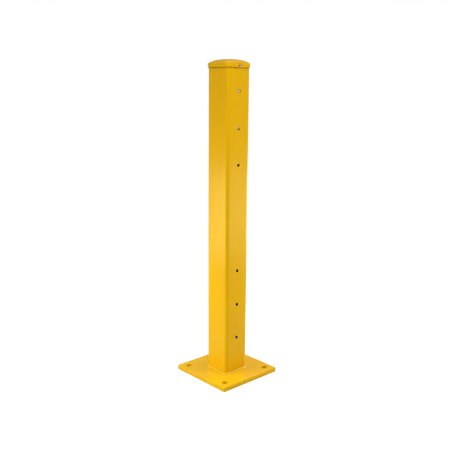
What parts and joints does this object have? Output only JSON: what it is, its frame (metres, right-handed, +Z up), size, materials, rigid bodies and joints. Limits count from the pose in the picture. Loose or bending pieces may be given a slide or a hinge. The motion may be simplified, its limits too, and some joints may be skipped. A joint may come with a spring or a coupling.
{
  "type": "square guard-rail post with base plate",
  "caption": "Upright square steel tube post welded to a square anchor plate, drilled on two adjoining faces for rails and closed by a low domed cap.",
  "frame": {"origin": "centre of the base plate's underside, on the floor", "axes": "+Z up the post. -Y is the outward normal of the drilled front face, and +X of the drilled right face"},
  "size_m": [0.254, 0.254, 1.1012],
  "materials": {
    "post_coat": "semi-gloss safety yellow powder coat",
    "weld_coat": "semi-gloss safety yellow powder coat over a weld bead",
    "cap_coat": "semi-gloss safety yellow powder coat",
    "screw_zinc": "yellow-zinc plated steel"
  },
  "bodies": {
    "root": {"base_plate": "post_coat", "post_tube": "post_coat", "weld_front": "weld_coat", "weld_right": "weld_coat", "weld_back": "weld_coat", "weld_left": "weld_coat", "post_cap": "cap_coat", "cap_screws": "screw_zinc"}
  },
  "joints": []
}
